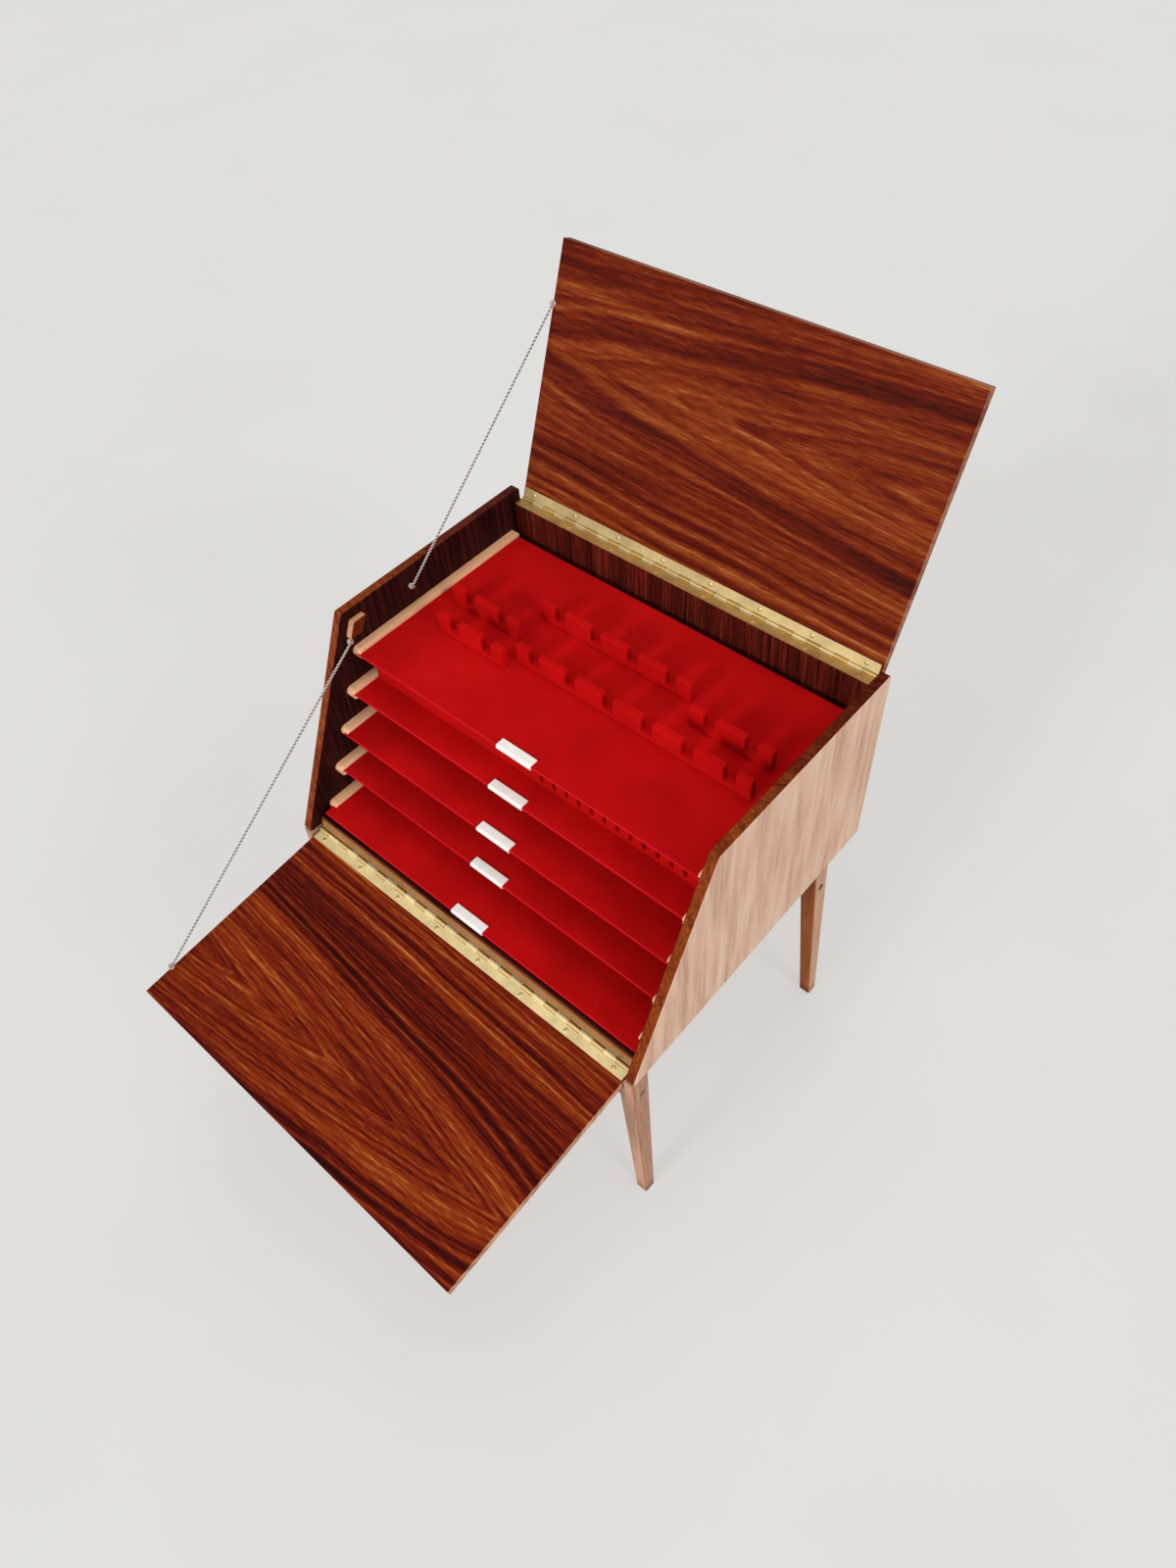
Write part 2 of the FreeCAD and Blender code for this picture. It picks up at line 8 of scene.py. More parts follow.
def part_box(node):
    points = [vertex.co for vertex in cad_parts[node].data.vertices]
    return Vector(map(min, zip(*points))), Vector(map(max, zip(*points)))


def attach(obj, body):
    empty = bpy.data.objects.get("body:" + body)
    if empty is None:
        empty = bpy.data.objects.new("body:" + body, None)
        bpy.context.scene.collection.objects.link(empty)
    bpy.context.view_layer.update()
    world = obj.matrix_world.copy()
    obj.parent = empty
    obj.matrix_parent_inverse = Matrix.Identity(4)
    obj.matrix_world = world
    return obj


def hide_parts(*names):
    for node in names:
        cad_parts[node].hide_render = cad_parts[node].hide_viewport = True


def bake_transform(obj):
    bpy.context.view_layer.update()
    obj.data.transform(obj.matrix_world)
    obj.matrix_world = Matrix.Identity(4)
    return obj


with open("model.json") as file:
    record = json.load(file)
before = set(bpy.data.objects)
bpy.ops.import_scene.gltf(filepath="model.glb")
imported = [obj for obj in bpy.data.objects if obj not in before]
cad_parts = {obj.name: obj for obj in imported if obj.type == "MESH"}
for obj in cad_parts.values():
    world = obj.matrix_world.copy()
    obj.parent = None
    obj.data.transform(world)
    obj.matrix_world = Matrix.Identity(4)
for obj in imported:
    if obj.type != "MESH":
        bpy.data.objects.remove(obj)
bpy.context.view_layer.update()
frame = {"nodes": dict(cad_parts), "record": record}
print("frame loaded:", len(frame["nodes"]), "nodes")

nodes = frame["nodes"]
record = frame["record"]
joints = {joint["name"]: joint for joint in record["behaviour"]["joints"]}
bodyOf = {node: body for body, held in record["behaviour"]["bodies"].items() for node in held}
lidAngle = math.radians(68.9)       # the open lid, from level
flapAngle = math.radians(185.4)     # the open flap
slopeAngle = math.radians(63.252)   # the case's front slope
lidAxis = Vector(joints["lid_hinge"]["pos_m"])
flapAxis = Vector(joints["flap_hinge"]["pos_m"])
trays = range(1, 6)
combedTrays = range(1, 5)           # the lowest tray is bare


class Wire:
    def __init__(self, tree, socket=None):
        self.tree = tree
        self.socket = socket

    def node(self, kind, settings=None, inputs=None, output=0):
        made = self.tree.nodes.new(kind)
        for name, value in (settings or {}).items():
            if name == "stops":
                elements = made.color_ramp.elements
                while len(elements) < len(value):
                    elements.new(1.0)
                for element, (place, colour) in zip(elements, value):
                    element.position = place
                    element.color = (*colour, 1.0)
            else:
                setattr(made, name, value)
        for key, value in (inputs or {}).items():
            if isinstance(value, Wire):
                self.tree.links.new(value.socket, made.inputs[key])
            else:
                made.inputs[key].default_value = value
        return Wire(self.tree, made.outputs[output])

    def other(self, output):
        return Wire(self.tree, self.socket.node.outputs[output])

    def math(self, operation, first, second=0.0):
        return self.node("ShaderNodeMath", {"operation": operation}, {0: first, 1: second})

    def __add__(self, value):
        return self.math("ADD", self, value)

    __radd__ = __add__

    def __mul__(self, value):
        return self.math("MULTIPLY", self, value)

    __rmul__ = __mul__

    def __sub__(self, value):
        return self.math("SUBTRACT", self, value)

    def __rsub__(self, value):
        return self.math("SUBTRACT", value, self)

    def __truediv__(self, value):
        return self.math("DIVIDE", self, value)

    def __rtruediv__(self, value):
        return self.math("DIVIDE", value, self)

    def __gt__(self, value):
        return self.math("GREATER_THAN", self, value)

    def __lt__(self, value):
        return self.math("LESS_THAN", self, value)


def linear(red, green, blue):
    # screen colours, 0 to 255, as the linear values that shaders use
    parts = [channel / 255 for channel in (red, green, blue)]
    return tuple(part / 12.92 if part <= 0.04045 else ((part + 0.055) / 1.055) ** 2.4 for part in parts)


def tones(spread, dark, middle, light):
    return [(0.5 - spread, linear(*dark)), (0.5, linear(*middle)), (0.5 + spread, linear(*light))]


def dimmed(colour, share):
    return tuple(channel * share for channel in colour)


def startFinish(name):
    finish = bpy.data.materials.new(name)
    finish.use_nodes = True
    shader = finish.node_tree.nodes["Principled BSDF"]
    return finish, Wire(finish.node_tree), shader


def feed(wire, shader, **inputs):
    for name, value in inputs.items():
        socket = shader.inputs[name.replace("_", " ")]
        if isinstance(value, Wire):
            wire.tree.links.new(value.socket, socket)
        else:
            socket.default_value = value


def spots(wire, kind="Object"):
    return wire.node("ShaderNodeTexCoord", None, None, kind)


def ramp(wire, stops, factor):
    return wire.node("ShaderNodeValToRGB", {"stops": stops}, {0: factor})


def bumped(wire, look, height):
    return wire.node("ShaderNodeBump", None,
                     {"Strength": look["bump"], "Distance": look["bumpDistance"], "Height": height})


def speckle(wire, coords, scale, detail, rough):
    return wire.node("ShaderNodeTexNoise", None,
                     {"Vector": coords, "Scale": scale, "Detail": detail, "Roughness": rough})


def drawnOut(wire, coords, stretch, detail, rough):
    stretched = wire.node("ShaderNodeVectorMath", {"operation": "MULTIPLY"}, {0: coords, 1: stretch})
    return speckle(wire, stretched, 1.0, detail, rough)


def lineNoise(wire, place, scale, detail, rough):
    return wire.node("ShaderNodeTexNoise", {"noise_dimensions": "1D"},
                     {"W": place, "Scale": scale, "Detail": detail, "Roughness": rough})


def blendColour(wire, factor, first, second):
    # 6 and 7 are the node's colour inputs, 2 is its colour output
    return wire.node("ShaderNodeMix", {"data_type": "RGBA"}, {0: factor, 6: first, 7: second}, 2)


def turned(wire, kind, source, turn, shift=None):
    inputs = {"Vector": source, "Rotation": turn}
    if shift is not None:
        inputs["Location"] = shift
    return wire.node("ShaderNodeMapping", {"vector_type": kind}, inputs)


def grainTone(wire, look, local, split):
    along, across, deep = split, split.other(1), split.other(2)
    wobble = drawnOut(wire, local, look["wobbleScale"], detail=2.0, rough=0.5)
    offset = across - look["figureCentre"]
    tip = wire.math("SQRT", offset * offset + look["tipRadius"] ** 2)
    reach = 1.0 / (offset * offset * look["figureSpread"] ** -2 + 1.0)
    # the growth lines: nested tips on the board's axis, nearly straight away from it
    line = (tip + along * reach * look["figureLean"] + (wobble - 0.5) * look["wander"]
            + deep * look["deepLean"])
    rings = lineNoise(wire, line, look["ringScale"], detail=4.0, rough=look["ringRough"])
    bands = lineNoise(wire, line + look["bandStart"], look["bandScale"], detail=1.5, rough=0.5)
    streak = drawnOut(wire, local, look["streakScale"], detail=4.0, rough=0.6)
    pores = drawnOut(wire, local, look["poreScale"], detail=2.0, rough=0.6)
    tone = (rings * look["ringShare"] + bands * look["bandShare"] + streak * look["streakShare"]
            + pores * look["poreShare"])
    tone = (tone - 0.5) * look["contrast"] + 0.5
    for centre, halfWidth, slope, depth in look["heartStreaks"]:
        away = (across + along * slope + (wobble - 0.5) * look["heartWander"] - centre) / halfWidth
        tone = tone - depth / (away * away + 1.0)
    if "footShadeHeight" in look:   # painted shade: the foot of a leg is darker close to the floor
        tone = tone - look["footShadeDepth"] * wire.math("MAXIMUM", 1.0 - along / look["footShadeHeight"], 0.0)
    return tone, streak, pores


def faceColour(wire, look, local, split, tone):
    # the board's face, its other face and its edges have their own colours
    normal = turned(wire, "VECTOR", spots(wire, "Normal"), look["turn"])
    facing = wire.node("ShaderNodeSeparateXYZ", None, {0: normal}, 2)
    flatness = wire.math("ABSOLUTE", facing)
    edgeTone = tone
    if "edgeFade" in look:   # the bare top edge darkens towards the rear
        fadeStart, fadeEnd = look["fadeReach"]
        rear = wire.node("ShaderNodeMath", {"operation": "DIVIDE", "use_clamp": True},
                         {0: split.other(1) - fadeStart, 1: fadeEnd - fadeStart})
        edgeTone = tone - rear * look["edgeFade"] * wire.math("MAXIMUM", facing.other(0), 0.0)
    calm = look["backCalm"]   # the share of a broad soft figure on the other face
    broad = drawnOut(wire, local, look["broadScale"], detail=3.0, rough=0.5)
    back = ramp(wire, look["backStops"], tone * (1.0 - calm) + broad * calm)
    onBack = (facing * look["backSide"]) > look["faceLimit"]
    colour = blendColour(wire, onBack, ramp(wire, look["stops"], tone), back)
    colour = blendColour(wire, flatness > look["faceLimit"], ramp(wire, look["edgeStops"], edgeTone), colour)
    if "arris" in look:   # the rounded corner between two faces is darker
        low, high = look["arrisRange"]
        onArris = (flatness > low) * (flatness < high)
        colour = blendColour(wire, onArris * look["arrisShare"], colour, (*look["arris"], 1.0))
    return colour


def woodFinish(name, look):
    finish, wire, shader = startFinish(name)
    local = turned(wire, "POINT", spots(wire), look["turn"], look["shift"])
    split = wire.node("ShaderNodeSeparateXYZ", None, {0: local})
    tone, streak, pores = grainTone(wire, look, local, split)
    low, high = look["rough"]
    feed(wire, shader, Base_Color=faceColour(wire, look, local, split, tone),
         Roughness=low + (high - low) * streak, Specular_IOR_Level=look["gloss"],
         Normal=bumped(wire, look, (streak + pores) * 0.5))
    return finish


# grain runs along the first axis, the board's thickness along the third
upright = Matrix(((0, 0, 1), (0, 1, 0), (-1, 0, 0))).to_euler()
uprightBack = Matrix(((0, 0, 1), (1, 0, 0), (0, 1, 0))).to_euler()
frontToBack = Matrix(((0, 1, 0), (0, 0, 1), (1, 0, 0))).to_euler()
acrossLid = Matrix.Rotation(-lidAngle, 3, "X")
acrossFlap = Matrix.Rotation(-flapAngle, 3, "X")

veneerLook = {
    "shift": (0, 0, 0), "tipRadius": 0.003, "deepLean": 0.5, "ringRough": 0.66, "bandStart": 3.7,
    "wobbleScale": (4.0, 16.0, 16.0), "poreScale": (70.0, 800.0, 800.0), "broadScale": (9.0, 85.0, 85.0),
    "heartStreaks": (), "heartWander": 0.035, "faceLimit": 0.6, "backCalm": 0.0,
    "rough": (0.45, 0.62), "bump": 0.12, "bumpDistance": 0.0004, "gloss": 0.06,
}
panelLook = {
    **veneerLook, "figureSpread": 0.08, "contrast": 1.5,
    "backStops": [(0.36, linear(96, 44, 20)), (0.5, linear(140, 74, 40)), (0.66, linear(172, 106, 64))],
}
lidLook = {
    **panelLook, "turn": acrossLid.to_euler(), "shift": -(acrossLid @ lidAxis), "backSide": -1.0,
    "stops": [(0.30, linear(52, 8, 1)), (0.43, linear(90, 19, 3)), (0.52, linear(114, 38, 8)),
              (0.61, linear(138, 62, 20)), (0.74, linear(176, 107, 58))],
    "edgeStops": [(0.36, linear(112, 62, 38)), (0.64, linear(166, 112, 80))],
    "figureCentre": 0.172, "figureLean": -0.17, "wander": 0.02,
    "ringScale": 110.0, "ringRough": 0.48, "bandScale": 30.0, "streakScale": (5.0, 150.0, 150.0),
    "ringShare": 0.28, "bandShare": 0.26, "streakShare": 0.24, "poreShare": 0.22,
    # each streak's centre from the hinge, half width, slope and depth
    "heartStreaks": [(0.254, 0.012, 0.0, 0.10), (0.092, 0.016, 0.02, 0.08),
                     (0.026, 0.02, 0.0, -0.05), (0.16, 0.03, 0.06, -0.05)],
}
lidVeneer = woodFinish("lidVeneer", lidLook)
flapLook = {
    **panelLook, "turn": acrossFlap.to_euler(), "shift": -(acrossFlap @ flapAxis), "backSide": 1.0,
    "stops": [(0.30, linear(42, 3, 1)), (0.43, linear(84, 12, 3)), (0.52, linear(117, 32, 6)),
              (0.61, linear(144, 58, 14)), (0.74, linear(190, 116, 54))],
    "edgeStops": [(0.36, linear(150, 98, 68)), (0.64, linear(206, 160, 128))],
    "figureCentre": 0.183, "figureLean": 0.17, "wander": 0.016,
    "ringScale": 185.0, "ringRough": 0.54, "bandScale": 34.0, "streakScale": (5.0, 200.0, 200.0),
    "ringShare": 0.36, "bandShare": 0.18, "streakShare": 0.26, "poreShare": 0.20,
    "heartStreaks": [(0.086, 0.020, -0.10, 0.07), (0.165, 0.05, -0.05, -0.03), (0.262, 0.008, 0.0, 0.09)],
}
flapVeneer = woodFinish("flapVeneer", flapLook)
caseLook = {   # dark inside, pale outside; the pale outer face is partly the wood's own tone and partly a painted reflection of glare from the right
    **veneerLook, "turn": upright, "backSide": 1.0, "backCalm": 0.52, "contrast": 1.1,
    "stops": tones(0.14, (17, 5, 6), (44, 14, 13), (72, 24, 19)),
    "backStops": tones(0.18, (174, 132, 108), (205, 168, 144), (222, 193, 170)),
    "edgeStops": [(0.30, linear(70, 17, 6)), (0.42, linear(100, 36, 10)), (0.52, linear(130, 55, 15)),
                  (0.66, linear(158, 80, 30))],
    "figureCentre": 0.06, "figureSpread": 0.3, "figureLean": 0.05, "wander": 0.012,
    "ringScale": 170.0, "bandScale": 40.0, "streakScale": (9.0, 330.0, 330.0),
    "ringShare": 0.26, "bandShare": 0.12, "streakShare": 0.44, "poreShare": 0.18,
}
sideLook = {**caseLook, "edgeFade": 0.17, "fadeReach": (0.03, 0.21)}
leftCase = woodFinish("leftCaseVeneer", sideLook)
rightCase = woodFinish("rightCaseVeneer", {**sideLook, "backSide": -1.0})
backLook = {**caseLook, "turn": uprightBack, "contrast": 1.15,
            "stops": tones(0.14, (30, 8, 6), (76, 21, 14), (116, 42, 27))}
backCase = woodFinish("backCaseVeneer", backLook)
floorCase = woodFinish("bottomVeneer", {**caseLook, "turn": (0, 0, 0), "backSide": -1.0})


def solidLook(turn, faceStops, edgeStops):
    return {**caseLook, "turn": turn, "stops": faceStops, "backStops": faceStops, "edgeStops": edgeStops}


# painted shade at each leg's foot near the floor, and a darker rounded corner
legFootShadeAndArris = {"backCalm": 0.0, "footShadeHeight": 0.022, "footShadeDepth": 0.2, "contrast": 0.85,
           "arris": linear(150, 92, 60), "arrisShare": 0.7, "arrisRange": (0.3, 0.92)}
# the leg tones carry painted light and shade: pale on lit faces, darker on the front legs' sides, brown on
# the rear legs' front and back faces in the case's shadow
legShadedSideTones = tones(0.16, (130, 90, 70), (166, 124, 101), (190, 150, 126))
legLitTones = tones(0.16, (148, 106, 82), (184, 142, 116), (204, 166, 140))
legCaseShadowTones = tones(0.16, (104, 50, 18), (150, 82, 38), (176, 110, 64))
frontLegLitAndShadedWood = woodFinish("frontLegLitAndShadedWood", {**solidLook(upright, legShadedSideTones, legLitTones), **legFootShadeAndArris})
rearLegShadedWood = woodFinish("rearLegShadedWood", {**solidLook(upright, legLitTones, legCaseShadowTones), **legFootShadeAndArris})
railTones = tones(0.16, (84, 40, 20), (126, 68, 38), (156, 94, 58))
railWood = woodFinish("railWood", solidLook(frontToBack, railTones, railTones))
blockFace = tones(0.16, (74, 24, 11), (112, 44, 20), (142, 68, 36))
blockEnd = tones(0.16, (164, 106, 72), (202, 146, 108), (220, 172, 136))
blockWood = woodFinish("blockWood", solidLook(frontToBack, blockFace, blockEnd))
runnerTones = tones(0.16, (226, 160, 118), (245, 188, 144), (252, 212, 174))
runnerWood = woodFinish("runnerWood", {**solidLook(frontToBack, runnerTones, runnerTones),
                                       "rough": (0.5, 0.68)})
print("wood finishes made")

flockLook = {
    "stops": tones(0.2, (166, 9, 9), (186, 11, 12), (204, 16, 17)),
    "fuzzScale": 1700.0, "patchScale": 14.0, "fuzzShare": 0.45,
    # these rim values paint a highlight along the top of each tray's front edge
    "rimHighlightColour": linear(204, 22, 40), "rimHighlightDepth": 0.0014, "rimHighlightFacing": -0.35,
    "rough": 0.86, "fuzzRough": 0.12, "bump": 0.3, "bumpDistance": 0.0005, "gloss": 0.03,
    "sheen": 0.04, "sheenRough": 0.6, "sheenTint": (1.0, 0.1, 0.1, 1.0),
}


def flockFinish(name, look):
    finish, wire, shader = startFinish(name)
    places = spots(wire)
    fuzz = speckle(wire, places, look["fuzzScale"], detail=2.0, rough=0.7)
    patch = speckle(wire, places, look["patchScale"], detail=3.0, rough=0.5)
    colour = ramp(wire, look["stops"], fuzz * look["fuzzShare"] + patch * (1.0 - look["fuzzShare"]))
    if "rimHighlightLow" in look:   # painted highlight: a paler line along the top of the front face
        facing = wire.node("ShaderNodeSeparateXYZ", None, {0: spots(wire, "Normal")}, 1)
        height = wire.node("ShaderNodeSeparateXYZ", None, {0: places}, 2)
        onRimHighlight = (facing < look["rimHighlightFacing"]) * (height > look["rimHighlightLow"])
        colour = blendColour(wire, onRimHighlight, colour, (*look["rimHighlightColour"], 1.0))
    feed(wire, shader, Base_Color=colour, Roughness=look["rough"] + fuzz * look["fuzzRough"],
         Normal=bumped(wire, look, fuzz), Sheen_Weight=look["sheen"], Sheen_Roughness=look["sheenRough"],
         Sheen_Tint=look["sheenTint"], Specular_IOR_Level=look["gloss"])
    return finish


trayFlock = {}
for number in trays:
    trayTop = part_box("tray_%d_board" % number)[1][2]
    trayFlock[number] = flockFinish("trayFlock%d" % number,
                                    {**flockLook, "rimHighlightLow": trayTop - flockLook["rimHighlightDepth"]})
combFlock = flockFinish("combFlock", flockLook)

metalLook = {"scratchScale": (12.0, 700.0, 700.0), "scratchRough": 0.14,
             "cloudScale": 38.0, "cloudRough": 0.1, "dark": 0.75, "darkAt": 0.3, "fullAt": 0.62,
             "bump": 0.06, "bumpDistance": 0.0003}


def metalFinish(name, colour, rough, metal=1.0, barrel=None):
    look = metalLook
    finish, wire, shader = startFinish(name)
    places = spots(wire)
    scratch = drawnOut(wire, places, look["scratchScale"], detail=3.0, rough=0.6)
    cloud = speckle(wire, places, look["cloudScale"], detail=4.0, rough=0.6)
    shade = ramp(wire, [(look["darkAt"], dimmed(colour, look["dark"])), (look["fullAt"], colour)], cloud)
    if barrel:   # the knuckles shine: paler brass with a painted highlight, and a line of painted shade beside them
        split = wire.node("ShaderNodeSeparateXYZ", None, {0: places})
        out, rise = split.other(1) - barrel["axis"].y, split.other(2) - barrel["axis"].z
        spread = out * out + rise * rise
        for size, tint in (("knuckleShadeRadius", "knuckleShade"), ("radius", "colour")):
            shade = blendColour(wire, spread < barrel[size] ** 2, shade, (*barrel[tint], 1.0))
    feed(wire, shader, Base_Color=shade, Metallic=metal, Normal=bumped(wire, look, scratch),
         Roughness=rough + scratch * look["scratchRough"] + cloud * look["cloudRough"])
    return finish


brightBrass = metalFinish("brightBrass", linear(222, 202, 148), 0.4)
# a darker brass on the lid hinge's fixed leaf and its screws than on its moving leaf
darkerBrass = metalFinish("darkerBrass", linear(212, 178, 112), 0.42)
paleBrass = metalFinish("paleBrass", linear(245, 225, 166), 0.42, metal=0.58)
screwBrass = metalFinish("screwBrass", linear(232, 206, 146), 0.24)
pinBrass = metalFinish("pinBrass", linear(208, 172, 160), 0.45, metal=0.6)
# the knuckle ring with its painted highlight, and a dark ring of painted shade where the knuckle's shadow
# falls on the fixed leaf
flapBarrel = {"axis": flapAxis, "radius": 0.0021, "colour": linear(226, 200, 140),
              "knuckleShadeRadius": 0.0036, "knuckleShade": linear(58, 36, 20)}
dullBrass = metalFinish("dullBrass", linear(182, 136, 88), 0.55, metal=0.9, barrel=flapBarrel)
plainSteel = metalFinish("plainSteel", linear(168, 164, 158), 0.3)
darkSteel = metalFinish("darkSteel", linear(48, 36, 28), 0.5, metal=0.5)

plasticLook = {"colour": linear(244, 240, 234), "worn": 0.93, "wornAt": 0.3, "fullAt": 0.6,
               "cloudScale": 90.0, "grainScale": 2400.0, "rough": 0.4, "cloudRough": 0.16,
               "bump": 0.02, "bumpDistance": 0.0002}


def plasticFinish(name, look):
    finish, wire, shader = startFinish(name)
    places = spots(wire)
    cloud = speckle(wire, places, look["cloudScale"], detail=3.0, rough=0.5)
    grain = speckle(wire, places, look["grainScale"], detail=2.0, rough=0.5)
    worn = dimmed(look["colour"], look["worn"])
    shade = ramp(wire, [(look["wornAt"], worn), (look["fullAt"], look["colour"])], cloud)
    feed(wire, shader, Base_Color=shade, Roughness=look["rough"] + cloud * look["cloudRough"],
         Normal=bumped(wire, look, grain))
    return finish


pullPlastic = plasticFinish("pullPlastic", plasticLook)

yarnLook = {"colour": linear(204, 194, 190), "creaseShade": 0.16, "creaseShadeAt": 0.44, "fullAt": 0.88,
            "crownShare": 0.8, "fibreShare": 0.3, "fibreScale": 2600.0, "rough": 0.62, "fibreRough": 0.2,
            "bump": 0.4, "bumpDistance": 0.0002, "sheen": 0.3}


def yarnFinish(name, look):
    finish, wire, shader = startFinish(name)
    fibre = speckle(wire, spots(wire), look["fibreScale"], detail=3.0, rough=0.6)
    crown = wire.node("ShaderNodeAttribute", {"attribute_name": "crown"}, None, "Fac")
    # painted shade: the yarn is dimmed in the crease where strands meet
    creaseShade = dimmed(look["colour"], look["creaseShade"])
    shade = ramp(wire, [(look["creaseShadeAt"], creaseShade), (look["fullAt"], look["colour"])],
                 crown * look["crownShare"] + fibre * look["fibreShare"])
    feed(wire, shader, Base_Color=shade, Roughness=look["rough"] + fibre * look["fibreRough"],
         Normal=bumped(wire, look, fibre), Sheen_Weight=look["sheen"])
    return finish


cordYarn = yarnFinish("cordYarn", yarnLook)
print("flock, brass, plastic and cord finishes made")


def addPiece(name, mesh, finish):
    piece = bpy.data.objects.new(name, mesh)
    bpy.context.scene.collection.objects.link(piece)
    mesh.materials.clear()
    mesh.materials.append(finish)
    return piece


def finishForm(form, name):
    mesh = bpy.data.meshes.new(name)
    form.to_mesh(mesh)
    form.free()
    return mesh


def plainMesh(holder):
    # what the modifiers make of an object, as a mesh of its own
    return bpy.data.meshes.new_from_object(holder.evaluated_get(bpy.context.evaluated_depsgraph_get()))


def standFor(piece, node):
    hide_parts(node)
    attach(piece, bodyOf[node])


easeLook = {"mergeGap": 0.000002, "flatAngle": math.radians(0.5), "segments": 2,
            "bevelAngle": math.radians(40), "sharpAngle": math.radians(35)}


def easedPiece(node, mesh, finish, width):
    piece = addPiece(node + "Eased", mesh, finish)
    ease = piece.modifiers.new("ease", "BEVEL")
    ease.width = width
    ease.segments = easeLook["segments"]
    ease.limit_method = "ANGLE"
    ease.angle_limit = easeLook["bevelAngle"]
    mesh.shade_smooth()
    mesh.set_sharp_from_angle(angle=easeLook["sharpAngle"])
    standFor(piece, node)


def easedCopy(node, finish, width):
    # a copy of the solid with its sharp edges rounded over, standing for the solid
    form = bmesh.new()
    form.from_mesh(nodes[node].data)
    bmesh.ops.remove_doubles(form, verts=form.verts, dist=easeLook["mergeGap"])
    bmesh.ops.dissolve_limit(form, angle_limit=easeLook["flatAngle"], verts=form.verts, edges=form.edges)
    mesh = finishForm(form, node + "Eased")
    if "custom_normal" in mesh.attributes:
        mesh.attributes.remove(mesh.attributes["custom_normal"])
    easedPiece(node, mesh, finish, width)


easedNodes = {   # finish and width of the rounding
    "side_panel_left": (leftCase, 0.0009), "side_panel_right": (rightCase, 0.0009),
    "back_panel": (backCase, 0.0005), "bottom_panel": (floorCase, 0.0005),
    "side_rail_left": (railWood, 0.001), "side_rail_right": (railWood, 0.001),
    "stop_block_left": (blockWood, 0.0009),
}
for number in trays:
    easedNodes["runner_left_%d" % number] = (runnerWood, 0.0008)
    easedNodes["runner_right_%d" % number] = (runnerWood, 0.0008)
    easedNodes["tray_%d_board" % number] = (trayFlock[number], 0.0007)
for number in combedTrays:
    easedNodes["tray_%d_combs" % number] = (combFlock, 0.0012)
for node, (finish, width) in easedNodes.items():
    easedCopy(node, finish, width)
print("edges eased on", len(easedNodes), "solids")

pullLook = {"wall": 0.0015, "frontRadius": 0.003, "arcSteps": 6, "ease": 0.0004}


def pullClip(node, look):
    # a U-shaped clip with a rounded front, drawn end on and carried along X
    (left, front, bottom), (right, back, top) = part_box(node)
    radius, wall = look["frontRadius"], look["wall"]
    outline = [(back, top)]
    for height, start in ((top - radius, 90), (bottom + radius, 180)):
        for step in range(look["arcSteps"] + 1):
            angle = math.radians(start + 90 * step / look["arcSteps"])
            outline.append((front + radius + radius * math.cos(angle), height + radius * math.sin(angle)))
    outline += [(back, bottom), (back, bottom + wall), (front + wall, bottom + wall),
                (front + wall, top - wall), (back, top - wall)]
    form = bmesh.new()
    ends = [[form.verts.new((across, out, height)) for out, height in outline] for across in (left, right)]
    for cap in ends:
        form.faces.new(cap)
    for index in range(len(outline)):
        form.faces.new((ends[0][index - 1], ends[0][index], ends[1][index], ends[1][index - 1]))
    bmesh.ops.recalc_face_normals(form, faces=form.faces)
    easedPiece(node, finishForm(form, node + "Eased"), pullPlastic, look["ease"])


for number in trays:
    pullClip("tray_%d_pull" % number, pullLook)
print("pulls clipped on")

plainNodes = {
    "lid_panel": lidVeneer, "flap_panel": flapVeneer,
    "front_leg_left": frontLegLitAndShadedWood, "front_leg_right": frontLegLitAndShadedWood,
    "rear_leg_left": rearLegShadedWood, "rear_leg_right": rearLegShadedWood,
    "leg_screws": darkSteel,
    "cord_posts": pinBrass, "lid_cord_post": pinBrass, "flap_cord_post": pinBrass,
    "lid_hinge_fixed_leaf": darkerBrass, "lid_hinge_moving_leaf": brightBrass,
    "flap_hinge_fixed_leaf": dullBrass, "flap_hinge_moving_leaf": paleBrass,
    "lid_hinge_pin": plainSteel, "flap_hinge_pin": plainSteel,
}
for node, finish in plainNodes.items():
    for place in nodes[node].material_slots:
        place.material = finish
print("finishes put on", len(plainNodes), "bare solids")

screwLook = {"count": 8, "halfRow": 0.2205, "line": 0.00745, "seat": 0.0011, "seed": 7, "spin": 3.1416,
             "headRadius": 0.0026, "domeHeight": 0.0008, "domeArc": 0.985, "rings": 5, "turns": 24,
             "slotWidth": 0.0006, "slotDepth": 0.00045, "sharpAngle": math.radians(40)}


def domedHead(look):
    form = bmesh.new()
    turns = look["turns"]
    rows = []
    for ring in range(look["rings"]):
        angle = ring / (look["rings"] - 1) * math.pi / 2
        radius = look["headRadius"] * math.cos(angle * look["domeArc"])
        height = look["domeHeight"] * math.sin(angle)
        rows.append([form.verts.new((radius * math.cos(2 * math.pi * turn / turns),
                                     radius * math.sin(2 * math.pi * turn / turns), height))
                     for turn in range(turns)])
    for lower, upper in zip(rows, rows[1:]):
        for turn in range(turns):
            following = (turn + 1) % turns
            form.faces.new((lower[turn], lower[following], upper[following], upper[turn]))
    form.faces.new(rows[-1])
    form.faces.new(list(reversed(rows[0])))
    return finishForm(form, "screwHead")


